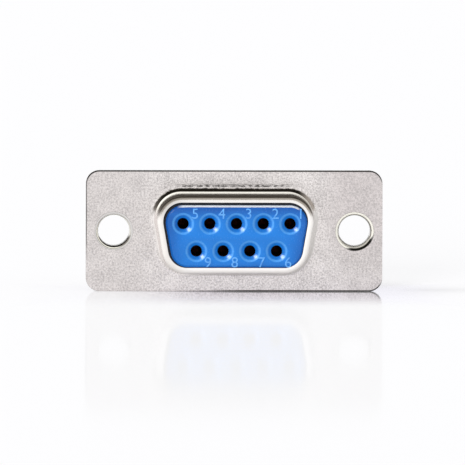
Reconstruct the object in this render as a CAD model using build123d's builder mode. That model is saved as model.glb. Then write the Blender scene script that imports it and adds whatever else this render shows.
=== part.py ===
from build123d import *
from math import cos, radians, sin
import os

# Nine-way female D-sub connector with solder cups, in millimetres.
# The origin is the centre of the flange's front face, +X is to the right for someone who looks
# into the sockets, +Z is up, and the mating side is towards -Y.
# A level is a height above the flange's front face, towards the mating side, so y = -level.

# Contact places, from which every outline grows outwards
pitch = 2.77
row_spacing = 2.84
top_row_count = 5
bottom_row_count = 4

# Stamped sheet of both shells
sheet = 0.45
flange_end = 2.905
flange_border = 0.915
flange_corner = 1.4
edge_round = 0.08

# Drawn shroud of the front shell
shroud_side = 2.58
shroud_border = 2.59
shroud_corner = 2.6
shroud_depth = 6.1
side_slope = 10.0
bend_radius = 0.8
lip_radius = 0.55
lip_width = 0.62

# Drawn collar of the rear shell
collar_side_step = 1.52
collar_step = 1.35
collar_corner = 3.2
collar_bend_radius = 0.6

# Eyelets that rivet the two shells together and take the panel screws
screw_side = 2.86
screw_bore = 3.24
bore_mouth = 3.44
bore_taper_end = 0.45
eyelet_wall = 0.14
eyelet_play = 0.02
brim_reach = 0.12
brim_thickness = 0.25
brim_proud = 0.05
brim_play = 0.03
brim_turn = 0.24
rim_reach = 0.49
rim_height = 1.60
rim_flare = 0.15
rim_crown = 0.32
rim_heel = 0.20

# Insulators
body_play = 0.16
body_chamfer = 0.70
face_play = 0.17
face_recess = 0.06
lip_play = 0.05
edge_break = 0.20
front_plate_thickness = 2.1
rear_plate_thickness = 2.0
plate_play = 0.16
boss_setback = 0.45
boss_height = 0.9
boss_chamfer = 0.2
settle_right = 0.09
settle_down = 0.11

# Entry holes in the face, in rows that lie a little below its middle
row_drop = 0.12
entry_hole = 1.18
funnel_mouth = 2.15
funnel_angle = 90.0
throat_length = 0.45

# Socket contacts
barrel_diameter = 1.75
barrel_bore = 1.25
barrel_play = 0.10
barrel_depth = 4.3
barrel_end_gap = 0.08
pinch_bore = 0.96
pinch_length = 0.25
pinch_taper = 0.9
tip_diameter = 1.60
lead_in = 0.10
slot_width = 0.22
slot_length = 3.6
drill_tip = 0.3
shoulder_diameter = 2.35
shoulder_thickness = 1.0
shoulder_play = 0.05
cup_diameter = 1.80
cup_bore = 1.20
cup_play = 0.06
cup_end = 11.0
cup_depth = 2.9
scoop_length = 2.1
scoop_slope = 0.6
scoop_height = 0.10

# How near to a level an edge counts as lying on it
level_tolerance = 1e-5

# Sizes that follow from those above
shroud_width = (top_row_count - 1) * pitch + 2 * shroud_side
shroud_height = row_spacing + 2 * shroud_border
collar_width = shroud_width + 2 * collar_side_step
collar_height = shroud_height + 2 * collar_step
screw_spacing = collar_width + 2 * screw_side
flange_width = screw_spacing + 2 * flange_end
flange_height = collar_height + 2 * flange_border
screw_places = [(-screw_spacing / 2, 0), (screw_spacing / 2, 0)]
tube_radius = bore_mouth / 2 + eyelet_wall
brim_radius = tube_radius + brim_reach
rim_radius = tube_radius + rim_reach
brim_seat = brim_thickness - brim_proud
clamped_plane = -sheet
flange_back = -2 * sheet
front_plate_back = clamped_plane - front_plate_thickness
rear_plate_back = front_plate_back - rear_plate_thickness
collar_end = rear_plate_back - sheet
boss_end = collar_end - boss_height
face_level = shroud_depth - face_recess
throat_end = face_level - (funnel_mouth - entry_hole) / 2 - throat_length
barrel_tip = throat_end - barrel_end_gap
face_inset = lip_width + face_play
body_inset = sheet + body_play
plate_inset = sheet + plate_play
boss_inset = lip_width + boss_setback


def contact_place(number):
    """Axis (x, z) of a contact: 1 to 5 run right to left on top, 6 to 9 right to left below."""
    if number <= top_row_count:
        steps = (top_row_count + 1) / 2 - number
        height = row_spacing / 2
    else:
        steps = (bottom_row_count + 1) / 2 - (number - top_row_count)
        height = -row_spacing / 2
    return (steps * pitch + settle_right, height - row_drop - settle_down)


contact_numbers = range(1, top_row_count + bottom_row_count + 1)
contact_places = [contact_place(number) for number in contact_numbers]


def d_outline(width, height, corner, inset=0.0):
    """D shape, wider at the top, with all its walls moved in by the inset."""
    slope = radians(side_slope)
    radius = corner - inset
    half_height = height / 2 - inset
    top = width / 2 - corner + radius * (1 + sin(slope)) / cos(slope)
    bottom = top - 2 * half_height * sin(slope) / cos(slope)
    corners = [(-top, half_height), (top, half_height), (bottom, -half_height), (-bottom, -half_height)]
    Polygon(*corners, align=None)
    fillet(vertices(), radius)


def flange_plate(back_level, front_level, rounded_level):
    """Flange of one shell, with its sheared outer edge rounded on the side that shows."""
    with BuildSketch(Plane.XZ.offset(back_level)) as blank:
        RectangleRounded(flange_width, flange_height, flange_corner)
    extrude(blank.sketch, amount=front_level - back_level)
    fillet(edges().filter_by(on_level(rounded_level)), edge_round)


def on_level(level):
    """Test for the edges that lie flat at one level."""

    def lies_there(edge):
        box = edge.bounding_box()
        return max(abs(box.min.Y + level), abs(box.max.Y + level)) < level_tolerance

    return lies_there


def export(piece, name):
    piece.part.label = name
    export_step(piece.part, f"parts/{name}.step")


os.makedirs("parts", exist_ok=True)

# Front shell: one stamping, a flange with the drawn D-shaped shroud and its turned-in lip
with BuildPart() as front_shell:
    flange_plate(clamped_plane, 0, 0)
    with BuildSketch(Plane.XZ.offset(clamped_plane)):
        d_outline(shroud_width, shroud_height, shroud_corner)
    extrude(amount=shroud_depth - clamped_plane)
    flange_front = front_shell.faces().filter_by(Axis.Y).sort_by(Axis.Y)[1]
    fillet(flange_front.inner_wires()[0].edges(), bend_radius)
    fillet(front_shell.edges().filter_by(on_level(shroud_depth)), lip_radius)
    with BuildSketch(Plane.XZ.offset(clamped_plane)):
        d_outline(shroud_width, shroud_height, shroud_corner, inset=sheet)
    extrude(amount=shroud_depth, mode=Mode.SUBTRACT)
    fillet(front_shell.edges().filter_by(on_level(shroud_depth - sheet)), lip_radius - sheet)
    flange_rear = front_shell.faces().filter_by(Axis.Y).sort_by(Axis.Y)[-1]
    fillet(flange_rear.inner_wires()[0].edges(), bend_radius + sheet)
    with BuildSketch(Plane.XZ.offset(shroud_depth - 2 * sheet)):
        d_outline(shroud_width, shroud_height, shroud_corner, inset=lip_width)
    extrude(amount=3 * sheet, mode=Mode.SUBTRACT)
    with Locations(Plane.XZ):
        with Locations(*screw_places):
            CounterBoreHole(tube_radius + eyelet_play, brim_radius + brim_play, brim_seat)
export(front_shell, "front_shell")

# Rear shell: the same flange, with the wider collar that holds the insulators' plates
with BuildPart() as rear_shell:
    flange_plate(flange_back, clamped_plane, flange_back)
    with BuildSketch(Plane.XZ.offset(collar_end)):
        d_outline(collar_width, collar_height, collar_corner)
    extrude(amount=clamped_plane - collar_end)
    flange_rear = rear_shell.faces().filter_by(Axis.Y).sort_by(Axis.Y)[-2]
    fillet(flange_rear.inner_wires()[0].edges(), collar_bend_radius)
    fillet(rear_shell.edges().filter_by(on_level(collar_end)), lip_radius)
    with BuildSketch(Plane.XZ.offset(rear_plate_back)):
        d_outline(collar_width, collar_height, collar_corner, inset=sheet)
    extrude(amount=clamped_plane - rear_plate_back, mode=Mode.SUBTRACT)
    fillet(rear_shell.edges().filter_by(on_level(rear_plate_back)), lip_radius - sheet)
    flange_front = rear_shell.faces().filter_by(Axis.Y).sort_by(Axis.Y)[0]
    fillet(flange_front.inner_wires()[0].edges(), collar_bend_radius + sheet)
    with BuildSketch(Plane.XZ.offset(collar_end - sheet)):
        d_outline(collar_width, collar_height, collar_corner, inset=lip_width)
    extrude(amount=3 * sheet, mode=Mode.SUBTRACT)
    with Locations(Plane.XZ.offset(clamped_plane)):
        with Locations(*screw_places):
            Hole(tube_radius + eyelet_play)
export(rear_shell, "rear_shell")

# Front insulator: plate in the collar, body in the shroud, and a stepped face in the lip's opening
settled = Location((settle_right, -settle_down))
with BuildPart() as front_insulator:
    with BuildSketch(Plane.XZ.offset(front_plate_back)):
        with Locations(settled):
            d_outline(collar_width, collar_height, collar_corner, inset=plate_inset)
    extrude(amount=front_plate_thickness)
    with BuildSketch(Plane.XZ.offset(clamped_plane)):
        with Locations(settled):
            d_outline(shroud_width, shroud_height, shroud_corner, inset=body_inset)
    extrude(amount=shroud_depth - sheet - lip_play - clamped_plane)
    plate_front = front_insulator.faces().filter_by(Axis.Y).sort_by(Axis.Y)[1]
    chamfer(plate_front.inner_wires()[0].edges(), body_chamfer)
    with BuildSketch(Plane.XZ.offset(shroud_depth - sheet - lip_play)):
        with Locations(settled):
            d_outline(shroud_width, shroud_height, shroud_corner, inset=face_inset)
    extrude(amount=face_level - shroud_depth + sheet + lip_play)
    chamfer(front_insulator.edges().filter_by(on_level(face_level)), edge_break)
    with Locations(Plane.XZ.offset(face_level)):
        with Locations(*contact_places):
            CounterSinkHole(entry_hole / 2, funnel_mouth / 2, counter_sink_angle=funnel_angle)
    with BuildSketch(Plane.XZ.offset(front_plate_back)):
        with Locations(*contact_places):
            Circle(barrel_diameter / 2 + barrel_play)
    extrude(amount=throat_end - front_plate_back, mode=Mode.SUBTRACT)
export(front_insulator, "front_insulator")

# Rear insulator: plate that traps the contacts' shoulders, and the boss the cups come out of
with BuildPart() as rear_insulator:
    with BuildSketch(Plane.XZ.offset(rear_plate_back)):
        with Locations(settled):
            d_outline(collar_width, collar_height, collar_corner, inset=plate_inset)
    extrude(amount=rear_plate_thickness)
    fillet(rear_insulator.edges().filter_by(on_level(rear_plate_back)), edge_break)
    with BuildSketch(Plane.XZ.offset(boss_end)):
        with Locations(settled):
            d_outline(collar_width, collar_height, collar_corner, inset=boss_inset)
    extrude(amount=rear_plate_back - boss_end)
    chamfer(rear_insulator.edges().filter_by(on_level(boss_end)), boss_chamfer)
    with Locations(Plane.XZ.offset(front_plate_back)):
        with Locations(*contact_places):
            CounterBoreHole(cup_diameter / 2 + cup_play, shoulder_diameter / 2 + shoulder_play, shoulder_thickness)
export(rear_insulator, "rear_insulator")

# Eyelets: a tube with a funnelled brim in front and a rolled rim behind the rear flange
for side, (screw_x, screw_z) in zip(("left", "right"), screw_places):
    with BuildPart() as eyelet:
        with BuildSketch(Plane.XY.offset(screw_z)) as section:
            with Locations((screw_x, 0)):
                Polygon(
                    (brim_radius, -brim_proud),
                    (bore_mouth / 2, -brim_proud),
                    (screw_bore / 2, bore_taper_end),
                    (screw_bore / 2, -flange_back + rim_height),
                    (rim_radius, -flange_back + rim_height),
                    (rim_radius, -flange_back),
                    (tube_radius, -flange_back),
                    (tube_radius, brim_seat),
                    (brim_radius, brim_seat),
                    align=None,
                )
            turns = [
                (bore_mouth / 2, -brim_proud, brim_turn),
                (screw_bore / 2, -flange_back + rim_height, rim_flare),
                (rim_radius, -flange_back + rim_height, rim_crown),
                (rim_radius, -flange_back, rim_heel),
            ]
            for radius, depth, turn_radius in turns:
                corner = section.vertices().sort_by_distance((screw_x + radius, depth, 0))[0]
                fillet(corner, turn_radius)
        revolve(axis=Axis((screw_x, 0, screw_z), (0, 1, 0)))
    export(eyelet, f"{side}_eyelet")

# Socket contacts: a slotted barrel that grips the pin, a shoulder, and a scooped solder cup
for number, (x, z) in zip(contact_numbers, contact_places):
    outward = 1 if number <= top_row_count else -1
    with BuildPart() as contact:
        with BuildSketch(Plane.XY.offset(z)):
            with Locations((x, 0)):
                Polygon(
                    (0, -barrel_tip + barrel_depth + drill_tip),
                    (barrel_bore / 2, -barrel_tip + barrel_depth),
                    (barrel_bore / 2, -barrel_tip + pinch_length + pinch_taper),
                    (pinch_bore / 2, -barrel_tip + pinch_length),
                    (pinch_bore / 2, -barrel_tip + lead_in),
                    (pinch_bore / 2 + lead_in, -barrel_tip),
                    (tip_diameter / 2, -barrel_tip),
                    (barrel_diameter / 2, -barrel_tip + pinch_length + pinch_taper),
                    (barrel_diameter / 2, -front_plate_back),
                    (shoulder_diameter / 2, -front_plate_back),
                    (shoulder_diameter / 2, -front_plate_back + shoulder_thickness),
                    (cup_diameter / 2, -front_plate_back + shoulder_thickness),
                    (cup_diameter / 2, cup_end),
                    (cup_bore / 2, cup_end),
                    (cup_bore / 2, cup_end - cup_depth),
                    (0, cup_end - cup_depth - drill_tip),
                    align=None,
                )
        revolve(axis=Axis((x, 0, z), (0, 1, 0)))
        with BuildSketch(Plane.XZ.offset(barrel_tip)):
            with Locations((x, z)):
                Rectangle(2 * barrel_diameter, slot_width)
        extrude(amount=-slot_length, mode=Mode.SUBTRACT)
        with BuildSketch(Plane.YZ.offset(x)):
            Polygon(
                (cup_end - scoop_length, z + outward * scoop_height),
                (cup_end + drill_tip, z + outward * scoop_height),
                (cup_end + drill_tip, z + outward * cup_diameter),
                (cup_end - scoop_length - scoop_slope, z + outward * cup_diameter),
                align=None,
            )
        extrude(amount=cup_diameter, both=True, mode=Mode.SUBTRACT)
    export(contact, f"socket_contact_{number}")
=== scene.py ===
import math

import bmesh
import bpy
import numpy as np
from mathutils import Matrix, Vector
from mathutils.geometry import tessellate_polygon


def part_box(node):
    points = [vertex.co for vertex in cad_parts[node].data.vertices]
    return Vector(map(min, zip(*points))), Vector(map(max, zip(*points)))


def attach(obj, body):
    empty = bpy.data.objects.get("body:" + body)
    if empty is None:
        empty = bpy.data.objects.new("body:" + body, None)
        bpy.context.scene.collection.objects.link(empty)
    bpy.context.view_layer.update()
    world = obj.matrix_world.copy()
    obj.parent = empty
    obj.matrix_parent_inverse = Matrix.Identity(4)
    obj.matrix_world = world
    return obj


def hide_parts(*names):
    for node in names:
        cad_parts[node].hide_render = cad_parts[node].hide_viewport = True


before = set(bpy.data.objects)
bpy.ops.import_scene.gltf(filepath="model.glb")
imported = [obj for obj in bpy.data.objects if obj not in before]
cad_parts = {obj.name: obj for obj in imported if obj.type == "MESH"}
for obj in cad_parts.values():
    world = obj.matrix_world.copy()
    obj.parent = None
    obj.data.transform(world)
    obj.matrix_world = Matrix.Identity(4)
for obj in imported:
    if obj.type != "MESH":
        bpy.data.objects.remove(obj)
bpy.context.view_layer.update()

# The nine-way socket connector. Sizes are in millimetres and become metres when a mesh is made.
# A level is a height above the flange's front face, towards the camera, so y = -level.
mm = 0.001
landing = 0.04  # narrow flat strip where a round meets a flat face, so that the flat one shades flat
joinDistance = 2e-7  # metres: points of neighbouring surfaces that lie closer than this are one point
tinyEdge = 1e-8  # metres


# What the frame says

def nodeSize(name, axis):
    low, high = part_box(name)
    return (high[axis] - low[axis]) / mm


def nodeCentre(name):
    low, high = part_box(name)
    return np.array([(low[0] + high[0]) / 2, (low[2] + high[2]) / 2]) / mm


def nodeLevels(name):
    low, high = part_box(name)
    return -high[1] / mm, -low[1] / mm


contactNames = [f"socket_contact_{number}" for number in range(1, 10)]
contactRows = ((5, 1), (9, 6))  # leftmost and rightmost contact, of the top row and of the bottom row
contactPlaces = [nodeCentre(name) for name in contactNames]
screwPlaces = [nodeCentre(f"{side}_eyelet") for side in ("left", "right")]


# Surfaces

def roundPath(width, height, corner, slope=0.0, place=(0.0, 0.0), cornerSteps=36):
    # Four arcs joined by straight walls, clockwise from the top right. Every point is a base point
    # plus (corner + offset) times its outward normal, so each offset of the outline is exact.
    lean = math.radians(slope)
    right = width / 2 - corner
    top = height / 2 - corner
    foot = right - 2 * top * math.tan(lean)
    centres = np.array([(right, top), (foot, -top), (-foot, -top), (-right, top)])
    turns = [(90, -slope), (-slope, -90), (-90, -180 + slope), (-180 + slope, -270)]
    bases, normals = [], []
    for number, (start, end) in enumerate(turns):
        angles = np.radians(np.linspace(start, end, cornerSteps + 1))
        normals.append(np.stack([np.cos(angles), np.sin(angles)], axis=1))
        bases.append(np.repeat(centres[number:number + 1], cornerSteps + 1, axis=0))
        wallEnds = np.array([[0.02], [0.98]])  # keeps the straight wall flat beside the arcs
        bases.append(centres[number] + wallEnds * (centres[(number + 1) % 4] - centres[number]))
        normals.append(np.repeat(normals[-1][-1:], 2, axis=0))
    return np.concatenate(bases) + np.array(place), np.concatenate(normals), corner


def ringPath(place, steps=96):
    # A circle: the base is its centre, and the offset is its radius
    angles = -np.linspace(0, 2 * math.pi, steps, endpoint=False)
    normals = np.stack([np.cos(angles), np.sin(angles)], axis=1)
    return np.repeat(np.array([place]), steps, axis=0), normals, 0.0


def loopAt(path, offset):
    base, normal, corner = path
    return base + (corner + offset) * normal


def arc(centre, radius, start, end, steps):
    # Round part of a profile: centre plus radius times (cos, sin), from one angle to the other
    angles = np.radians(np.linspace(start, end, steps + 1))
    return [(centre[0] + radius * math.cos(a), centre[1] + radius * math.sin(a)) for a in angles]


def roundCorner(before, corner, after, radius, steps):
    # Tangent arc in place of a profile's corner. With u and v the unit steps to its neighbours, and h
    # half the angle between them, the centre is corner + (u + v) / |u + v| * radius / sin(h).
    corner = np.array(corner)
    u, v = (np.array(end) - corner for end in (before, after))
    u, v = u / np.linalg.norm(u), v / np.linalg.norm(v)
    half = math.acos(float(u @ v)) / 2
    centre = corner + (u + v) / np.linalg.norm(u + v) * radius / math.sin(half)
    start, end = (corner + side * radius / math.tan(half) - centre for side in (u, v))
    first = math.degrees(math.atan2(start[1], start[0]))
    turn = (math.degrees(math.atan2(end[1], end[0])) - first + 180) % 360 - 180
    return arc(centre, radius, first, first + turn, steps)


def carry(path, profile, closed=False):
    # A profile of (offset, level) carried round a closed path:
    # x, z = base + (corner + offset) * normal and y = -level, on a grid of path points by profile points
    base, normal, corner = path
    offset, level = np.array(profile, float).T
    across = base[:, None, :] + (corner + offset)[None, :, None] * normal[:, None, :]
    depth = np.broadcast_to(-level, across.shape[:2])
    points = np.stack([across[..., 0], depth, across[..., 1]], axis=-1).reshape(-1, 3)
    rows, columns = across.shape[:2]
    u = np.arange(rows)[:, None]
    v = np.arange(columns if closed else columns - 1)[None, :]
    nextU, nextV = (u + 1) % rows, (v + 1) % columns
    quads = [u * columns + v, nextU * columns + v, nextU * columns + nextV, u * columns + nextV]
    return points, np.stack(np.broadcast_arrays(*quads), axis=-1).reshape(-1, 4)


def flat(level, outer, holes=()):
    # A flat face at one level between an outer loop and the loops of its holes
    loops = [outer, *holes]
    points = np.concatenate(loops)
    corners = tessellate_polygon([[Vector((x, z, 0)) for x, z in loop] for loop in loops])
    points = np.stack([points[:, 0], np.full(len(points), -level), points[:, 1]], axis=-1)
    return points, np.array(corners)


def pieceFrom(name, surfaces, body="root", sharp=30):
    # Joins the surfaces at their shared points into one closed mesh that faces outwards
    points = np.concatenate([p for p, _ in surfaces]) * mm
    starts = np.cumsum([0] + [len(p) for p, _ in surfaces[:-1]])
    faces = [face for start, (_, f) in zip(starts, surfaces) for face in (f + start).tolist()]
    mesh = bpy.data.meshes.new(name)
    mesh.from_pydata(points.tolist(), [], faces)
    return finishMesh(mesh, name, body, sharp)


def finishMesh(mesh, name, body, sharp):
    work = bmesh.new()
    work.from_mesh(mesh)
    bmesh.ops.remove_doubles(work, verts=work.verts, dist=joinDistance)
    bmesh.ops.dissolve_degenerate(work, edges=work.edges, dist=tinyEdge)
    bmesh.ops.recalc_face_normals(work, faces=work.faces)
    work.to_mesh(mesh)
    work.free()
    mesh.shade_smooth()
    mesh.set_sharp_from_angle(angle=math.radians(sharp))
    piece = bpy.data.objects.new(name, mesh)
    bpy.context.collection.objects.link(piece)
    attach(piece, body)
    return piece


# Shells

sheet = 0.45
flangeCorner = 1.4
shroudOutline = {"width": 16.24, "height": 8.02, "corner": 2.6, "slope": 10}
collarOutline = {"width": 19.28, "height": 10.72, "corner": 3.2, "slope": 10}
shroudPath = roundPath(**shroudOutline)
collarPath = roundPath(**collarOutline)
flangePath = roundPath(nodeSize("front_shell", 0), nodeSize("front_shell", 2), flangeCorner)

frontShellSizes = {
    "edgeRound": 0.08,
    "bend": 0.8,
    "lipRound": 0.55,
    "lipWidth": 0.62,
    "lipBreak": 0.04,
    "brimHole": 2.01,
    "brimSeat": 0.20,
    "tubeHole": 1.88,
}


def makeFrontShell(s):
    tip = nodeLevels("front_shell")[1]
    bend, lip = s["bend"], s["lipRound"]
    shroud = [
        (bend + landing, 0),
        *arc((bend, bend), bend, -90, -180, steps=18),
        *arc((-lip, tip - lip), lip, 0, 90, steps=16),
        *arc((-s["lipWidth"] + s["lipBreak"], tip - s["lipBreak"]), s["lipBreak"], 90, 180, steps=4),
        *arc((-s["lipWidth"] + s["lipBreak"], tip - sheet + s["lipBreak"]), s["lipBreak"], 180, 270, steps=4),
        *arc((-lip, tip - lip), lip - sheet, 90, 0, steps=5),
        *arc((bend, bend), bend + sheet, -180, -90, steps=12),
        (bend + landing, -sheet),
    ]
    edge = [
        (-s["edgeRound"] - landing, 0),
        *arc((-s["edgeRound"], -s["edgeRound"]), s["edgeRound"], 90, 0, steps=5),
        (0, -sheet),
        (-landing, -sheet),
    ]
    hole = [
        (s["brimHole"] + landing, 0),
        (s["brimHole"], 0),
        (s["brimHole"], -s["brimSeat"]),
        (s["tubeHole"], -s["brimSeat"]),
        (s["tubeHole"], -sheet),
        (s["tubeHole"] + landing, -sheet),
    ]
    rings = [ringPath(place) for place in screwPlaces]
    front = flat(0, loopAt(flangePath, edge[0][0]),
                 [loopAt(shroudPath, shroud[0][0])] + [loopAt(ring, hole[0][0]) for ring in rings])
    rear = flat(-sheet, loopAt(flangePath, edge[-1][0]),
                [loopAt(shroudPath, shroud[-1][0])] + [loopAt(ring, hole[-1][0]) for ring in rings])
    surfaces = [front, rear, carry(shroudPath, shroud), carry(flangePath, edge)]
    piece = pieceFrom("frontShell", surfaces + [carry(ring, hole) for ring in rings])
    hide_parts("front_shell")
    return piece


rearShellSizes = {
    "edgeRound": 0.08,
    "bend": 0.6,
    "lipRound": 0.55,
    "lipWidth": 0.62,
    "tubeHole": 1.88,
}


def makeRearShell(s):
    end = nodeLevels("rear_shell")[0]
    back = -2 * sheet
    bend, lip = s["bend"], s["lipRound"]
    collar = [
        (bend + landing, back),
        *arc((bend, back - bend), bend, 90, 180, steps=14),
        *arc((-lip, end + lip), lip, 0, -90, steps=14),
        (-s["lipWidth"], end),
        (-s["lipWidth"], end + sheet),
        *arc((-lip, end + lip), lip - sheet, -90, 0, steps=5),
        *arc((bend, back - bend), bend + sheet, 180, 90, steps=10),
        (bend + landing, -sheet),
    ]
    edge = [
        (-landing, -sheet),
        (0, -sheet),
        *arc((-s["edgeRound"], back + s["edgeRound"]), s["edgeRound"], 0, -90, steps=5),
        (-s["edgeRound"] - landing, back),
    ]
    hole = [
        (s["tubeHole"] + landing, -sheet),
        (s["tubeHole"], -sheet),
        (s["tubeHole"], back),
        (s["tubeHole"] + landing, back),
    ]
    rings = [ringPath(place) for place in screwPlaces]
    rear = flat(back, loopAt(flangePath, edge[-1][0]),
                [loopAt(collarPath, collar[0][0])] + [loopAt(ring, hole[-1][0]) for ring in rings])
    front = flat(-sheet, loopAt(flangePath, edge[0][0]),
                 [loopAt(collarPath, collar[-1][0])] + [loopAt(ring, hole[0][0]) for ring in rings])
    surfaces = [front, rear, carry(collarPath, collar), carry(flangePath, edge)]
    piece = pieceFrom("rearShell", surfaces + [carry(ring, hole) for ring in rings])
    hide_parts("rear_shell")
    return piece


# Insulators

settled = (0.09, -0.11)
settledShroud = roundPath(**shroudOutline, place=settled)
settledCollar = roundPath(**collarOutline, place=settled)

insulatorSizes = {
    "plateInset": 0.61,
    "bodyInset": 0.61,
    "bodyChamfer": 0.70,
    "faceInset": 0.79,
    "stepLevel": 5.60,
    "edgeBreak": 0.20,
    "mouth": 1.075,
    "mouthRim": 0.05,
    "mouthDrop": 0.02,
    "throat": 0.59,
    "throatLength": 0.45,
    "barrelHole": 0.975,
    "rearPlate": 2.0,
    "bossInset": 1.07,
    "bossChamfer": 0.2,
    "shoulderHole": 1.225,
    "shoulderDepth": 1.0,
    "cupHole": 0.96,
}


def makeFrontInsulator(s):
    back, face = nodeLevels("front_insulator")
    body, inner = -s["bodyInset"], -s["faceInset"]
    walls = [
        (body + s["bodyChamfer"] + landing, -sheet),
        (body + s["bodyChamfer"], -sheet),
        (body, -sheet + s["bodyChamfer"]),
        (body, s["stepLevel"]),
        (inner, s["stepLevel"]),
        (inner, face - s["edgeBreak"]),
        (inner - s["edgeBreak"], face),
        (inner - s["edgeBreak"] - landing, face),
    ]
    plate = [(-s["plateInset"] - landing, -sheet), (-s["plateInset"], -sheet),
             (-s["plateInset"], back), (-s["plateInset"] - landing, back)]
    cone = s["mouth"] - s["throat"]
    entry = [
        (s["mouth"] + s["mouthRim"], face),
        (s["mouth"], face - s["mouthDrop"]),
        (s["throat"], face - cone),
        (s["throat"], face - cone - s["throatLength"]),
        (s["barrelHole"], face - cone - s["throatLength"]),
        (s["barrelHole"], back),
        (s["barrelHole"] + landing, back),
    ]
    rings = [ringPath(place, steps=64) for place in contactPlaces]
    surfaces = [
        flat(face, loopAt(settledShroud, walls[-1][0]), [loopAt(ring, entry[0][0]) for ring in rings]),
        flat(-sheet, loopAt(settledCollar, plate[0][0]), [loopAt(settledShroud, walls[0][0])]),
        flat(back, loopAt(settledCollar, plate[-1][0]), [loopAt(ring, entry[-1][0]) for ring in rings]),
        carry(settledShroud, walls),
        carry(settledCollar, plate),
    ]
    piece = pieceFrom("frontInsulator", surfaces + [carry(ring, entry) for ring in rings])
    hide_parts("front_insulator")
    return piece


def makeRearInsulator(s):
    end, front = nodeLevels("rear_insulator")
    plateBack = front - s["rearPlate"]
    plateTurn = -s["plateInset"] - s["edgeBreak"]
    plate = [
        (-s["plateInset"] - landing, front),
        (-s["plateInset"], front),
        *arc((plateTurn, plateBack + s["edgeBreak"]), s["edgeBreak"], 0, -90, steps=5),
        (plateTurn - landing, plateBack),
    ]
    boss = [
        (-s["bossInset"] + landing, plateBack),
        (-s["bossInset"], plateBack),
        (-s["bossInset"], end + s["bossChamfer"]),
        (-s["bossInset"] - s["bossChamfer"], end),
        (-s["bossInset"] - s["bossChamfer"] - landing, end),
    ]
    hole = [
        (s["shoulderHole"] + landing, front),
        (s["shoulderHole"], front),
        (s["shoulderHole"], front - s["shoulderDepth"]),
        (s["cupHole"], front - s["shoulderDepth"]),
        (s["cupHole"], end),
        (s["cupHole"] + landing, end),
    ]
    rings = [ringPath(place, steps=64) for place in contactPlaces]
    surfaces = [
        flat(front, loopAt(settledCollar, plate[0][0]), [loopAt(ring, hole[0][0]) for ring in rings]),
        flat(plateBack, loopAt(settledCollar, plate[-1][0]), [loopAt(settledCollar, boss[0][0])]),
        flat(end, loopAt(settledCollar, boss[-1][0]), [loopAt(ring, hole[-1][0]) for ring in rings]),
        carry(settledCollar, plate),
        carry(settledCollar, boss),
    ]
    piece = pieceFrom("rearInsulator", surfaces + [carry(ring, hole) for ring in rings])
    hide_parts("rear_insulator")
    return piece


# Raised numbers beside the entry holes

numberSizes = {
    "height": 1.12,
    "capShare": 0.73,
    "rise": 0.036,
    "thin": -0.010,
    "bevel": 0.012,
    "topRow": (1.25, 1.0),
    "bottomRow": (1.2, -1.2),
    "firstRight": 1.1,
}


def makeNumbers(s):
    face = nodeLevels("front_insulator")[1]
    for number, place in enumerate(contactPlaces, 1):
        across, up = s["topRow"] if number <= contactRows[0][0] else s["bottomRow"]
        if number == 1:
            across = s["firstRight"]
        text = bpy.data.curves.new("numberText", "FONT")
        text.body = str(number)
        text.align_x = "CENTER"
        text.align_y = "CENTER"
        text.size = s["height"] / s["capShare"] * mm
        text.offset = s["thin"] * mm
        text.extrude = s["rise"] * mm
        text.bevel_depth = s["bevel"] * mm
        text.bevel_resolution = 2
        holder = bpy.data.objects.new("numberText", text)
        bpy.context.collection.objects.link(holder)
        bpy.context.view_layer.update()
        solid = holder.evaluated_get(bpy.context.evaluated_depsgraph_get())
        mesh = bpy.data.meshes.new_from_object(solid)
        bpy.data.objects.remove(holder)
        seat = Vector(((place[0] + across) * mm, -face * mm, (place[1] + up) * mm))
        mesh.transform(Matrix.Translation(seat) @ Matrix.Rotation(math.radians(90), 4, "X"))
        piece = finishMesh(mesh, f"raisedNumber_{number}", "root", 30)
        piece.data.materials.clear()
        piece.data.materials.append(numberMaterial)


# Eyelets

eyeletSizes = {
    "mouth": 1.72,
    "bore": 1.62,
    "taperEnd": -0.45,
    "tube": 1.86,
    "brim": 1.98,
    "brimProud": 0.05,
    "brimSeat": 0.20,
    "brimTurn": 0.24,
    "rim": 2.35,
    "flare": 0.15,
    "crown": 0.32,
    "heel": 0.20,
}


def makeEyelet(side, place, s):
    back = -2 * sheet
    end = nodeLevels(f"{side}_eyelet")[0]
    front = s["brimProud"]
    narrow = (s["bore"], s["taperEnd"])
    profile = [
        (s["brim"], front),
        *roundCorner((s["brim"], front), (s["mouth"], front), narrow, s["brimTurn"], steps=10),
        narrow,
        *arc((s["bore"] + s["flare"], end + s["flare"]), s["flare"], 180, 270, steps=8),
        *arc((s["rim"] - s["crown"], end + s["crown"]), s["crown"], 270, 360, steps=10),
        *arc((s["rim"] - s["heel"], back - s["heel"]), s["heel"], 0, 90, steps=8),
        (s["tube"], back),
        (s["tube"], -s["brimSeat"]),
        (s["brim"], -s["brimSeat"]),
    ]
    piece = pieceFrom(f"{side}Eyelet", [carry(ringPath(place), profile, closed=True)])
    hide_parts(f"{side}_eyelet")
    return piece


# Contacts: the CAD pieces' own form with their points joined, so that the round walls shade round

def makeContact(node):
    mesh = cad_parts[node].data.copy()
    mesh.materials.clear()
    piece = finishMesh(mesh, node.replace("socket_contact_", "socketContact_"), "root", 25)
    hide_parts(node)
    return piece


# Shader values

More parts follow.
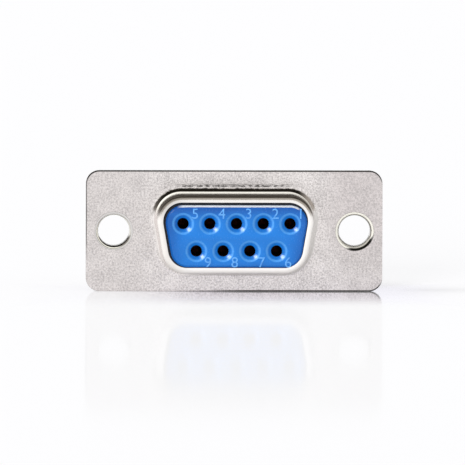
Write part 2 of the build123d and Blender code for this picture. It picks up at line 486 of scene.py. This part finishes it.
class Wire:
    # A value in a shader. Maths on it adds Math nodes to its material.
    def __init__(self, tree, out):
        self.tree = tree
        self.out = out

    def maths(self, operation, first, second):
        node = self.tree.nodes.new("ShaderNodeMath")
        node.operation = operation
        for value, slot in ((first, node.inputs[0]), (second, node.inputs[1])):
            put(self.tree, slot, value)
        return Wire(self.tree, node.outputs[0])

    def __add__(self, other):
        return self.maths("ADD", self, other)

    def __radd__(self, other):
        return self.maths("ADD", other, self)

    def __sub__(self, other):
        return self.maths("SUBTRACT", self, other)

    def __rsub__(self, other):
        return self.maths("SUBTRACT", other, self)

    def __mul__(self, other):
        return self.maths("MULTIPLY", self, other)

    def __rmul__(self, other):
        return self.maths("MULTIPLY", other, self)

    def __truediv__(self, other):
        return self.maths("DIVIDE", self, other)

    def __pow__(self, other):
        return self.maths("POWER", self, other)

    def least(self, other):
        return self.maths("MINIMUM", self, other)

    def most(self, other):
        return self.maths("MAXIMUM", self, other)

    def away(self):
        # How far the value is from zero
        return self.maths("ABSOLUTE", self, 0.0)

    def toMultiple(self, step):
        # How far the value is from the nearest multiple of the step
        return self.maths("PINGPONG", self, step / 2)

    def within(self, low, high):
        # 0 at low, 1 at high, and smooth between them
        node = self.tree.nodes.new("ShaderNodeMapRange")
        node.interpolation_type = "SMOOTHSTEP"
        for name, value in (("Value", self), ("From Min", low), ("From Max", high)):
            put(self.tree, node.inputs[name], value)
        return Wire(self.tree, node.outputs["Result"])

    def between(self, rise, fall):
        # 1 from the rise's end to the fall's start, and 0 outside both
        return self.within(*rise) * (1 - self.within(*fall))


def mean(first, second, share):
    # first * share + second * (1 - share)
    return first * share + second * (1 - share)


def put(tree, slot, value):
    if isinstance(value, Wire):
        tree.links.new(value.out, slot)
    else:
        slot.default_value = value


class Finish:
    # One material or world: its nodes all come from node(), which sets what a node is before its sockets
    def __init__(self, holder):
        holder.use_nodes = True
        self.holder = holder
        self.tree = holder.node_tree
        self.tree.nodes.clear()

    def node(self, kind, settings=None, values=None, out=0):
        node = self.tree.nodes.new("ShaderNode" + kind)
        for name, value in (settings or {}).items():
            setattr(node, name, value)
        for name, value in (values or {}).items():
            put(self.tree, node.inputs[name], value)
        return Wire(self.tree, node.outputs[out])

    def place(self):
        return self.node("TexCoord", out="Object")

    def split(self, vector, axis):
        return self.node("SeparateXYZ", values={"Vector": vector}, out=axis)

    def placeMm(self):
        # Where a point is, in millimetres: across, level towards the camera, and up
        where = self.place()
        across, toward, up = (self.split(where, axis) / mm for axis in ("X", "Y", "Z"))
        return across, 0.0 - toward, up

    def noise(self, scale, detail, roughness, seed, stretch=(1, 1, 1)):
        moved = {"Vector": self.place(), "Scale": stretch, "Location": (seed, seed, seed)}
        where = self.node("Mapping", values=moved)
        values = {"Vector": where, "Scale": scale, "Detail": detail, "Roughness": roughness}
        return self.node("TexNoise", values=values)

    def mixColour(self, amount, first, second):
        return self.node("Mix", {"data_type": "RGBA"}, {0: amount, 6: first, 7: second}, out=2)

    def bump(self, height, distance):
        return self.node("Bump", values={"Height": height, "Distance": distance}, out="Normal")

    def surface(self, values):
        self.output(self.node("BsdfPrincipled", values=values))

    def output(self, shader):
        kind = "OutputWorld" if isinstance(self.holder, bpy.types.World) else "OutputMaterial"
        node = self.tree.nodes.new("ShaderNode" + kind)
        self.tree.links.new(shader.out, node.inputs["Surface"])


def newFinish(name):
    return Finish(bpy.data.materials.new(name))


# Finishes. In the marks, lengths are in millimetres: a pair is where a mask rises from 0 to 1, and two
# pairs are the rise and the fall of a band.

# Painted shade: the right eyelet's gap is painted dark where it faces down and to the right
lowerRight = (0.42, 0.91)  # right and down parts of the way in which the right eyelet's dark gap faces
gapSpread = (0.50, 0.85)

shellLook = {
    # Painted light: the flange's lighter middle, near the shroud
    "inner": (0.98, 0.93, 0.91, 1),
    "pale": (0.86, 0.81, 0.79, 1),
    # Painted shade: the flange's darker upper right
    "shadedRight": (0.80, 0.74, 0.73, 1),
    "dull": (0.48, 0.45, 0.445, 1),
    "lip": (0.95, 0.92, 0.89, 1),
    "lipLeft": (0.72, 0.69, 0.66, 1),
    # Painted dark edge: black at the front and grey further back
    "sheared": (0.030, 0.027, 0.025, 1),
    "paintedEdgeGrey": (0.30, 0.285, 0.27, 1),
    # Painted reflections over the shroud's top: a dark wall, a pale band and a dark line
    "paintedDarkWall": (0.21, 0.185, 0.155, 1),
    "paintedLightBand": (0.97, 0.95, 0.86, 1),
    "paintedDarkLine": (0.035, 0.032, 0.028, 1),
    "flangeRoughness": 0.30,
    "flangeUneven": 0.3,
    "drawnRoughness": 0.11,
    "lipRoughness": 0.24,
    "wallRoughness": 0.58,
    "lipMatt": 0.88,
    "footMatt": 0.90,
    "grainHeight": 0.000008,
    "drawnPolish": 0.96,
}

shellMarks = {
    # Where the painted dark edge lies
    "edgeShadeTop": (4.9, 5.6),
    "edgeShadeLeft": (14.4, 14.9),
    "edgeShadeLeftEnd": (-3.5, 0.0),
    "edgeShadeLeftShare": 0.75,
    "edgeShadeFoot": (5.2, 5.9),
    "edgeShadeFootEnd": (-6.0, 2.0),
    "edgeShadeFootShare": 0.9,
    "edgeShadeBand": (-0.14, -0.07),
    "edgeShadeWidens": (0.0, -4.0),
    "edgeShadeWidening": 0.03,
    "edgeShadeFront": (-0.20, -0.12),
    "front": (-0.05, -0.01),
    "upper": (1.4, 2.8),
    "drawn": (0.02, 0.25),
    # Where the painted reflections over the shroud's top lie
    "paintedDarkSpecks": ((4.53, 4.63), (4.74, 4.98)),
    "paintedSpecksReach": (5.0, 6.6),
    "paintedSpecksNoise": (0.42, 0.56),
    "raggedShare": 0.7,
    "paintedSpecksShare": 0.9,
    "darkLineStart": (0.06, 0.12),
    "darkLineEnd": (0.34, 0.42),
    "darkLineTear": 0.22,
    "darkLineRight": (6.6, 7.8),
    "darkLineLeft": (7.2, 8.8),
    "darkLineLeftShare": 0.4,
    "paintedLightBand": ((0.36, 0.46), (1.5, 2.5)),
    "paintedDarkWall": ((2.0, 2.8), (5.86, 5.93)),
    "lip": (5.7, 5.95),
    "rolled": (5.35, 5.6),
    "foot": ((0.004, 0.03), (0.8, 1.2)),
    "leftward": (4.0, 7.5),
    "footFade": 0.7,
    # Where the painted gap shade lies
    "paintedGapShade": (2.03, 2.08),
    "middle": 1.0,
    "outer": (8.0, 12.0),
    "paintedShadeUp": (-5.0, 1.0),
    "tone": (0.28, 0.66),
    "cloudShare": 0.25,
    "spots": (0.50, 0.62),
    "spotsShare": 0.45,
}


def makePlatedSteel(s, m):
    f = newFinish("platedSteel")
    across, level, up = f.placeMm()
    left, down = 0.0 - across, 0.0 - up
    cloud = f.noise(scale=500, detail=3, roughness=0.5, seed=3.0)
    grain = f.noise(scale=5200, detail=2, roughness=0.7, seed=1.0)
    speck = f.noise(scale=8200, detail=2, roughness=0.6, seed=9.0)
    ragged = f.noise(scale=2300, detail=3, roughness=0.65, stretch=(1, 1, 2), seed=21.0)
    mottle = f.noise(scale=3000, detail=2, roughness=0.6, seed=12.0)
    # Distance from the flange's outline, a rectangle with round corners: positive outside it
    half = [nodeSize("front_shell", axis) / 2 - flangeCorner for axis in (0, 2)]
    beyondX = (across.away() - half[0]).most(0.0)
    beyondZ = (up.away() - half[1]).most(0.0)
    outside = (beyondX * beyondX + beyondZ * beyondZ) ** 0.5 - flangeCorner
    # Painted dark edge: a painted dark reflection along the top and down the left side, and painted shade
    # along the right of the foot
    edgeShadeLeft = left.within(*m["edgeShadeLeft"]) * up.within(*m["edgeShadeLeftEnd"]) * m["edgeShadeLeftShare"]
    edgeShadeFoot = down.within(*m["edgeShadeFoot"]) * across.within(*m["edgeShadeFootEnd"]) * m["edgeShadeFootShare"]
    edgeShade = up.within(*m["edgeShadeTop"]).most(edgeShadeLeft).most(edgeShadeFoot)
    edge = outside + up.within(*m["edgeShadeWidens"]) * m["edgeShadeWidening"]
    sheared = edge.within(*m["edgeShadeBand"]) * edgeShade
    # Over the shroud's top, from the flange to the lip: painted dark reflections as specks and a line in the
    # bend, a painted pale band of reflection and a painted dark reflection on the wall.
    # Round its lower half: a matt foot and a matt rolled edge.
    upper = up.within(*m["upper"])
    lower = 1 - upper
    drawn = level.within(*m["drawn"])
    paintedDarkSpecks = up.between(*m["paintedDarkSpecks"]) * (1 - across.away().within(*m["paintedSpecksReach"]))
    paintedDarkSpecks = paintedDarkSpecks * mean(ragged, grain, m["raggedShare"]).within(*m["paintedSpecksNoise"])
    paintedDarkSpecks = paintedDarkSpecks * level.within(*m["front"]) * m["paintedSpecksShare"]
    torn = level + (ragged - 0.5) * m["darkLineTear"]
    paintedDarkLine = torn.within(*m["darkLineStart"]) * (1 - level.within(*m["darkLineEnd"])) * upper
    paintedDarkLine = paintedDarkLine * (1 - across.within(*m["darkLineRight"]))
    paintedDarkLine = paintedDarkLine * (1 - left.within(*m["darkLineLeft"]) * m["darkLineLeftShare"])
    paintedLightBand = level.between(*m["paintedLightBand"]) * upper
    paintedDarkWall = level.between(*m["paintedDarkWall"]) * upper
    lip = level.within(*m["lip"])
    rolled = level.within(*m["rolled"]) * lower
    leftward = left.within(*m["leftward"])
    foot = level.between(*m["foot"]) * lower * (1 - leftward * m["footFade"])
    matt = paintedLightBand + rolled * s["lipMatt"] + foot * s["footMatt"]
    # Painted shade in the gap outside the right eyelet's brim, towards its lower right
    beside = across - screwPlaces[1][0]
    apart = (beside * beside + up * up) ** 0.5
    facing = (beside * lowerRight[0] + down * lowerRight[1]) / apart
    paintedGapShade = (1 - apart.within(*m["paintedGapShade"])) * facing.within(*gapSpread)
    # Colours: the flange's, then each mark's over it
    # Painted light: the flange is lighter in the middle, near the shroud, than at its sides
    pale = f.mixColour((across - m["middle"]).away().within(*m["outer"]), s["inner"], s["pale"])
    # Painted shade: darker at the flange's upper right, where dull mottled spots also lie
    paintedShadeRight = across.within(*m["outer"]) * up.within(*m["paintedShadeUp"])
    tone = mean(cloud, grain, m["cloudShare"]).within(*m["tone"]).most(drawn)
    colour = f.mixColour(tone, s["dull"], f.mixColour(paintedShadeRight, pale, s["shadedRight"]))
    spots = mottle.within(*m["spots"]) * paintedShadeRight * (1 - drawn) * m["spotsShare"]
    colour = f.mixColour(spots, colour, s["dull"])
    lipColour = f.mixColour(leftward, s["lip"], s["lipLeft"])
    colour = f.mixColour(lip.most(rolled).most(foot), colour, lipColour)
    # Painted reflections: the dark wall, the pale band, then dark specks and a dark line together with the
    # gap's painted shade
    colour = f.mixColour(paintedDarkWall, colour, s["paintedDarkWall"])
    colour = f.mixColour(paintedLightBand, colour, s["paintedLightBand"])
    colour = f.mixColour(paintedDarkLine.most(paintedDarkSpecks).most(paintedGapShade), colour, s["paintedDarkLine"])
    # Painted dark edge: black at the front and grey further back
    edgeShadeColour = f.mixColour(level.within(*m["edgeShadeFront"]), s["paintedEdgeGrey"], s["sheared"])
    roughness = (s["flangeRoughness"] + (speck - 0.5) * s["flangeUneven"]) * (1 - drawn)
    roughness = roughness + s["drawnRoughness"] * drawn
    roughness = roughness + lip * (s["lipRoughness"] - s["drawnRoughness"]) + paintedDarkWall * s["wallRoughness"]
    f.surface({
        "Base Color": f.mixColour(sheared, colour, edgeShadeColour),
        "Metallic": 1 - matt,
        "Roughness": roughness,
        "Normal": f.bump((grain + speck) * (1 - drawn * s["drawnPolish"]), s["grainHeight"]),
    })
    return f.holder


eyeletLook = {
    "colour": (0.80, 0.78, 0.76, 1),
    "dark": (0.62, 0.60, 0.58, 1),
    # Painted light: a cream highlight, an olive shade and a black shade
    "creamHighlight": (0.93, 0.91, 0.80, 1),
    "olive": (0.26, 0.25, 0.20, 1),
    "shade": (0.012, 0.012, 0.010, 1),
    "roughness": 0.14,
    "uneven": 0.10,
    "markHeight": 0.000003,
}

eyeletMarks = {
    "side": (-1.0, 1.0),
    "ahead": (-1.0, -0.9),
    "gapFrom": 1.96,
    "gapFromCut": 0.20,
    "gapTo": 1.99,
    "gapToCut": 0.18,
    "turn": ((1.61, 1.64), (1.72, 1.76)),
    "turnDown": (0.1, 0.6),
    "turnAslant": (0.2, 1.2),
    "turnLeast": 0.5,
    "turnMore": 0.45,
    "brim": (1.75, 1.79),
    "brimDown": (0.2, 0.6),
    "brimShare": 0.75,
    "taper": (1.69, 1.72),
    "taperLevel": (-0.95, -0.85),
    "taperDown": (0.68, 0.92),
    "lowerLeft": (0.65, 0.75),
    "lowerLeftSpread": (0.25, 0.75),
    "crescent": ((1.71, 1.74), (1.79, 1.82)),
    "edgeDown": (0.0, 0.5),
    "edgeShare": 0.7,
    "seamShadeLine": ((1.80, 1.83), (1.86, 1.90)),
    "seamShadeShare": 0.8,
    "bore": ((-1.96, -1.90), (-1.5, -0.95)),
    "boreDown": (0.0, 0.4),
    "boreShare": 0.8,
}


def makeBrightPlate(s, m):
    f = newFinish("brightPlate")
    marks = f.noise(scale=2500, detail=3, roughness=0.6, stretch=(1, 6, 1), seed=5.0)
    across, level, up = f.placeMm()
    # Distance from the nearer eyelet's axis, and how far a point lies down and to the right of it
    beside = across.away() - screwPlaces[1][0]
    apart = (beside * beside + up * up) ** 0.5
    right = across.within(*m["side"])
    left = 1 - right
    down = (0.0 - up) / apart
    rightwards = beside / apart * (right * 2 - 1)
    ahead = level.within(*m["ahead"])
    # Right eyelet: painted black shade in the gap under the brim's lower right, a painted olive shade on the
    # turn and a painted cream highlight on the brim
    low = (rightwards * lowerRight[0] + down * lowerRight[1]).within(*gapSpread)
    paintedGapShade = apart.within(m["gapFrom"] - low * m["gapFromCut"], m["gapTo"] - low * m["gapToCut"]) * low
    onTurn = apart.between(*m["turn"])
    aslant = m["turnLeast"] + (rightwards - down).within(*m["turnAslant"]) * m["turnMore"]
    turn = onTurn * (1 - down.within(*m["turnDown"])) * aslant
    brim = apart.within(*m["brim"]).most(onTurn * down.within(*m["brimDown"])) * (1 - paintedGapShade)
    # Left eyelet: painted black shade on the taper at the foot, with a painted cream highlight crescent and a
    # painted grey shade line at its lower left
    taper = (1 - apart.within(*m["taper"])) * level.within(*m["taperLevel"]) * down.within(*m["taperDown"])
    leftPart, downPart = m["lowerLeft"]
    lowLeft = (down * downPart - rightwards * leftPart).within(*m["lowerLeftSpread"])
    crescent = apart.between(*m["crescent"]) * lowLeft
    edge = onTurn * (1 - down.within(*m["edgeDown"]))
    seamShadeLine = apart.between(*m["seamShadeLine"]) * lowLeft
    # Both: a painted grey shade line low in the bore, just before its far end
    bore = level.between(*m["bore"]) * down.within(*m["boreDown"])
    # Painted shade in black and grey, painted highlight in cream
    paintedBlackShade = (paintedGapShade * right).most(taper * left)
    creamHighlight = (brim * right * m["brimShare"]).most(crescent.most(edge * m["edgeShare"]) * left) * ahead
    paintedGreyShade = ((turn * right).most(seamShadeLine * left * m["seamShadeShare"]) * ahead).most(bore * m["boreShare"])
    colour = f.mixColour(creamHighlight, f.mixColour(marks, s["dark"], s["colour"]), s["creamHighlight"])
    colour = f.mixColour(paintedGreyShade, colour, s["olive"])
    f.surface({
        "Base Color": f.mixColour(paintedBlackShade, colour, s["shade"]),
        "Metallic": 1 - creamHighlight,
        "Roughness": s["roughness"] + marks * s["uneven"],
        "Normal": f.bump(marks, s["markHeight"]),
    })
    return f.holder


blueLook = {
    # Painted shade: the deeper blue here and the near black below
    "deepShade": (0.003, 0.070, 0.33, 1),
    "clear": (0.008, 0.185, 0.63, 1),
    # Painted highlights on the funnels' rims and the face's top bevel
    "rim": (0.075, 0.33, 0.78, 1),
    "bevel": (0.74, 0.78, 0.84, 1),
    "shaded": (0.002, 0.006, 0.016, 1),
    "roughness": 0.26,
    "uneven": 0.12,
    "skinHeight": 0.000003,
    "ior": 1.42,
}

blueMarks = {
    "pitch": 2.77,
    "onFace": (-0.30, -0.20),
    "rimRadius": 1.01,
    "rimWidth": (0.04, 0.17),
    "rimLeast": 0.7,
    "rimUneven": 0.4,
    "funnel": (0.95, 1.0),
    "bevel": ((-0.21, -0.17), (-0.01, 0.0)),
    "bevelUp": (2.55, 2.8),
    "bevelMiddle": 0.45,
    "bevelReach": (5.9, 6.6),
    "besideFunnel": (1.05, 1.1),
    "deepFunnel": (-0.60, -0.50),
    "deepOutside": (-0.42, -0.30),
    "deepRear": (-0.4, 0.6),
    "shadowUp": (0.9, 3.3),
    "shadowSide": (4.0, 7.8),
    "shadowSideShare": 0.75,
    "shadowFoot": (1.8, 3.6),
    "shadowFootShare": 0.4,
    "flowShare": 0.4,
    "light": (0.15, 0.75),
}


def makeBlueMoulding(s, m):
    f = newFinish("blueMoulding")
    across, level, up = f.placeMm()
    rise = level - nodeLevels("front_insulator")[1]
    flow = f.noise(scale=260, detail=3, roughness=0.5, seed=8.0)
    skin = f.noise(scale=5200, detail=3, roughness=0.55, seed=2.0)
    # Distance from the nearest entry hole's axis, from the repeat of each row along X
    distances = []
    for first, last in contactRows:
        (left, height), (right, _) = contactPlaces[first - 1], contactPlaces[last - 1]
        past = (across - (left + right) / 2).away() - (right - left) / 2
        beside = (across - left).toMultiple(m["pitch"]).most(past)
        distances.append((beside * beside + (up - height) * (up - height)) ** 0.5)
    apart = distances[0].least(distances[1])
    # Painted highlights: a pale rim round each funnel and a pale bevel at the top edge of the face
    rim = (1 - (apart - m["rimRadius"]).away().within(*m["rimWidth"])) * rise.within(*m["onFace"])
    rim = rim * (m["rimLeast"] + skin * m["rimUneven"])
    bevel = rise.between(*m["bevel"]) * apart.within(*m["funnel"]) * up.within(*m["bevelUp"])
    bevel = bevel * (1 - (across - m["bevelMiddle"]).away().within(*m["bevelReach"]))
    # Painted shade: dark behind the face, in the gap round it and in the holes, but not on the mouldings'
    # rear
    deepOutside = (1 - rise.within(*m["deepOutside"])) * apart.within(*m["besideFunnel"])
    deepShade = (1 - rise.within(*m["deepFunnel"])).most(deepOutside) * level.within(*m["deepRear"])
    # Painted shade: the face is deeper blue near its top, its sides and its foot, mixed with a random flow of
    # tone
    side = across.away().within(*m["shadowSide"]) * m["shadowSideShare"]
    foot = (0.0 - up).within(*m["shadowFoot"]) * m["shadowFootShare"]
    shadow = up.within(*m["shadowUp"]).most(side).most(foot)
    light = mean(flow, 1 - shadow, m["flowShare"]).within(*m["light"])
    colour = f.mixColour(light, s["deepShade"], s["clear"])
    # Painted highlights on the funnels' rims and the top bevel
    colour = f.mixColour(rim, colour, s["rim"])
    colour = f.mixColour(bevel, colour, s["bevel"])
    f.surface({
        "Base Color": f.mixColour(deepShade, colour, s["shaded"]),
        "Roughness": s["roughness"] + (skin - 0.5) * s["uneven"],
        "Normal": f.bump(skin, s["skinHeight"]),
        "IOR": s["ior"],
    })
    return f.holder


numberLook = {
    "wornAndLit": (0.13, 0.42, 0.86, 1),
    "clear": (0.075, 0.31, 0.76, 1),
    "wear": (0.35, 0.65),
    "roughness": 0.26,
    "uneven": 0.1,
    "skinHeight": 0.000002,
    "ior": 1.52,
}


def makeNumberBlue(s):
    f = newFinish("raisedNumberBlue")
    skin = f.noise(scale=4200, detail=3, roughness=0.55, seed=4.0)
    f.surface({
        # The numbers are lighter than the face: partly painted light, for their raised strokes catching the
        # light, and partly wear
        "Base Color": f.mixColour(skin.within(*s["wear"]), s["clear"], s["wornAndLit"]),
        "Roughness": s["roughness"] + (skin - 0.5) * s["uneven"],
        "Normal": f.bump(skin, s["skinHeight"]),
        "IOR": s["ior"],
    })
    return f.holder


contactLook = {
    "bronze": (0.62, 0.34, 0.20, 1),
    "stained": (0.34, 0.15, 0.08, 1),
    # Painted shade at the tips
    "tipShade": (0.10, 0.035, 0.02, 1),
    "stain": (0.35, 0.70),
    "tipShadeLevel": (-6.5, -5.0),
    "roughness": 0.24,
    "uneven": 0.14,
    "turnedHeight": 0.000003,
}


def makeContactBronze(s):
    f = newFinish("contactBronze")
    stain = f.noise(scale=1400, detail=4, roughness=0.6, seed=6.0)
    turned = f.noise(scale=3000, detail=2, roughness=0.5, stretch=(0.2, 6, 0.2), seed=7.0)
    # Painted shade: darker towards the tips, which are seen through the entry holes
    rise = f.placeMm()[1] - nodeLevels("socket_contact_1")[1]
    colour = f.mixColour(stain.within(*s["stain"]), s["bronze"], s["stained"])
    f.surface({
        "Base Color": f.mixColour(rise.within(*s["tipShadeLevel"]), colour, s["tipShade"]),
        "Metallic": 1.0,
        "Roughness": s["roughness"] + turned * s["uneven"],
        "Normal": f.bump(turned, s["turnedHeight"]),
    })
    return f.holder


shellMaterial = makePlatedSteel(shellLook, shellMarks)
eyeletMaterial = makeBrightPlate(eyeletLook, eyeletMarks)
blueMaterial = makeBlueMoulding(blueLook, blueMarks)
numberMaterial = makeNumberBlue(numberLook)
contactMaterial = makeContactBronze(contactLook)
print("finishes made")

blueNodes = [makeFrontInsulator(insulatorSizes), makeRearInsulator(insulatorSizes)]
for piece, material in (
    (makeFrontShell(frontShellSizes), shellMaterial),
    (makeRearShell(rearShellSizes), shellMaterial),
    (blueNodes[0], blueMaterial),
    (blueNodes[1], blueMaterial),
    (makeEyelet("left", screwPlaces[0], eyeletSizes), eyeletMaterial),
    (makeEyelet("right", screwPlaces[1], eyeletSizes), eyeletMaterial),
):
    piece.data.materials.append(material)
for name in contactNames:
    makeContact(name).data.materials.append(contactMaterial)
makeNumbers(numberSizes)
print("pieces made")


# Studio: a pale glossy floor under the flange in a white surround, a grey and a dark card that only
# mirrors see, a soft box for the blue pieces' shine, and two suns

def towards(azimuth, elevation):
    # With a the azimuth from the front and e the elevation: (sin a cos e, -cos a cos e, sin e)
    a, e = math.radians(azimuth), math.radians(elevation)
    return Vector((math.sin(a) * math.cos(e), -math.cos(a) * math.cos(e), math.sin(e)))


def hang(name, data):
    holder = bpy.data.objects.new(name, data)
    bpy.context.collection.objects.link(holder)
    return holder


studio = {
    "floorLevel": -6.277,
    "floorReach": 4000.0,
    "floorColour": (0.50, 0.50, 0.503, 1),
    "glow": 0.46,
    "mirrorTint": (0.94, 0.93, 1.0, 1),
    "mirrorRoughness": 0.07,
    "mirrorNear": 0.80,
    "mirrorFar": 0.11,
    "mirrorLeft": 0.35,
    "frontFade": (6.0, 21.0),
    "rearFade": (3.0, 12.0),
    "sideFade": (15.0, 24.0),
    "leftFade": (-13.0, -3.0),
    "worldDiffuse": 0.57,
}


def makeFloor(s):
    # Corners (x, y) = (+-reach, +-reach) at the floor's level
    mesh = bpy.data.meshes.new("studioFloor")
    reach = s["floorReach"] * mm
    height = s["floorLevel"] * mm
    corners = [(x * reach, y * reach, height) for x, y in ((-1, -1), (1, -1), (1, 1), (-1, 1))]
    mesh.from_pydata(corners, [], [(0, 1, 2, 3)])
    floor = hang("studioFloor", mesh)
    f = newFinish("studioFloor")
    matt = f.node("BsdfDiffuse", values={"Color": s["floorColour"]})
    gloss = f.node("BsdfGlossy", values={"Color": s["mirrorTint"], "Roughness": s["mirrorRoughness"]})
    across, forward, _ = f.placeMm()
    fade = forward.within(*s["frontFade"]).most((0.0 - forward).within(*s["rearFade"]))
    fade = fade.most(across.away().within(*s["sideFade"]))
    share = s["mirrorNear"] * (s["mirrorLeft"] + across.within(*s["leftFade"]) * (1 - s["mirrorLeft"]))
    glow = f.node("Emission", values={"Color": (1, 1, 1, 1), "Strength": s["glow"]})
    f.output(f.node("MixShader", values={
        0: share - fade * (share - s["mirrorFar"]),
        1: f.node("AddShader", values={0: matt, 1: glow}),
        2: gloss,
    }))
    mesh.materials.append(f.holder)


def makeWorld(s):
    world = bpy.data.worlds.new("studioWorld")
    bpy.context.scene.world = world
    f = Finish(world)
    camera = f.node("LightPath", out="Is Camera Ray")
    glossy = f.node("LightPath", out="Is Glossy Ray")
    through = f.node("LightPath", out="Is Transmission Ray")
    seen = (camera + glossy + through).within(0.0, 1.0)
    strength = seen * (1 - s["worldDiffuse"]) + s["worldDiffuse"]
    f.output(f.node("Background", values={"Color": (1, 1, 1, 1), "Strength": strength}))


cards = {
    "greyDome": {"near": 46, "far": 92, "colour": (0.40, 0.37, 0.33, 1)},
    "darkDome": {"near": 92, "far": 170, "colour": (0.05, 0.044, 0.038, 1)},
}


def makeDome(name, near, far, colour, radius=0.8, side=80):
    # Part of a sphere round the viewing axis: with t the angle from that axis and b the turn from
    # straight up, x, y, z = radius * (sin t sin b, -cos t, sin t cos b)
    t, b = np.radians(np.meshgrid(np.linspace(near, far, 25), np.linspace(-side, side, 49)))
    points = radius * np.stack([np.sin(t) * np.sin(b), -np.cos(t), np.sin(t) * np.cos(b)], axis=-1)
    rows, columns = t.shape
    u = np.arange(rows - 1)[:, None]
    v = np.arange(columns - 1)[None, :]
    start = u * columns + v
    quads = np.stack([start, start + 1, start + 1 + columns, start + columns], axis=-1).reshape(-1, 4)
    mesh = bpy.data.meshes.new(name)
    mesh.from_pydata(points.reshape(-1, 3).tolist(), [], quads.tolist())
    card = hang(name, mesh)
    card.visible_camera = False
    card.visible_diffuse = False
    card.visible_shadow = False
    f = newFinish(name)
    f.output(f.node("Emission", values={"Color": colour, "Strength": 1.0}))
    mesh.materials.append(f.holder)


glint = {"turn": -48, "angle": 74, "distance": 0.6, "size": 0.23, "watts": 4.4}


def makeGlint(name, pieces, turn, angle, distance, size, watts):
    # A soft box for the glossy shine of the pieces alone. It stands where a dome's point would be, with
    # t the angle and b the turn.
    lamp = bpy.data.lights.new(name, "AREA")
    lamp.size = size
    lamp.energy = watts
    holder = hang(name, lamp)
    t, b = math.radians(angle), math.radians(turn)
    back = Vector((math.sin(t) * math.sin(b), -math.cos(t), math.sin(t) * math.cos(b)))
    holder.location = back * distance
    holder.rotation_mode = "QUATERNION"
    holder.rotation_quaternion = back.to_track_quat("Z", "Y")
    holder.visible_diffuse = False
    lit = bpy.data.collections.new(name)
    for piece in pieces:
        lit.objects.link(piece)
    holder.light_linking.receiver_collection = lit


suns = {
    "leftSun": {"azimuth": -86, "elevation": 41, "spread": 26, "strength": 1.9},
    "frontSun": {"azimuth": -20, "elevation": 12, "spread": 20, "strength": 1.6},
}


def makeSun(name, azimuth, elevation, spread, strength):
    # Without a mirror image: on the bright plate it would be a white blob
    sun = bpy.data.lights.new(name, "SUN")
    sun.angle = math.radians(spread)
    sun.energy = strength
    holder = hang(name, sun)
    holder.rotation_mode = "QUATERNION"
    holder.rotation_quaternion = towards(azimuth, elevation).to_track_quat("Z", "Y")
    holder.visible_glossy = False


makeFloor(studio)
makeWorld(studio)
for name, card in cards.items():
    makeDome(name, **card)
makeGlint("glintBox", blueNodes, **glint)
for name, sun in suns.items():
    makeSun(name, **sun)
print("studio made")


# Camera: a long lens a little above and to the left of the connector

shot = {
    "azimuth": -1.5,
    "elevation": 4.3,
    "roll": 0.2,
    "lens": 1500.0,
    "frameWidth": 465.0,
    "pixelsPerMm": 9.63,
    "middleX": 234.2,
    "middleY": 231.05,
}


def makeCamera(s):
    # The distance gives the photo's pixels per millimetre, and the aim puts the part's middle at its pixel
    lens = bpy.data.cameras.new("shotCamera")
    lens.lens = s["lens"]
    camera = hang("shotCamera", lens)
    back = towards(s["azimuth"], s["elevation"])
    turn = back.to_track_quat("Z", "Y").to_matrix() @ Matrix.Rotation(math.radians(s["roll"]), 3, "Z")
    distance = s["frameWidth"] / s["pixelsPerMm"] * mm * lens.lens / lens.sensor_width
    right = (s["frameWidth"] / 2 - s["middleX"]) / s["pixelsPerMm"] * mm
    up = (s["middleY"] - s["frameWidth"] / 2) / s["pixelsPerMm"] * mm
    camera.location = turn @ Vector((right, up, 0)) + back * distance
    camera.rotation_euler = turn.to_euler()
    lens.clip_start = distance / 10
    lens.clip_end = 100
    bpy.context.scene.camera = camera


makeCamera(shot)
bpy.context.scene.view_settings.view_transform = "Standard"
print("camera made")
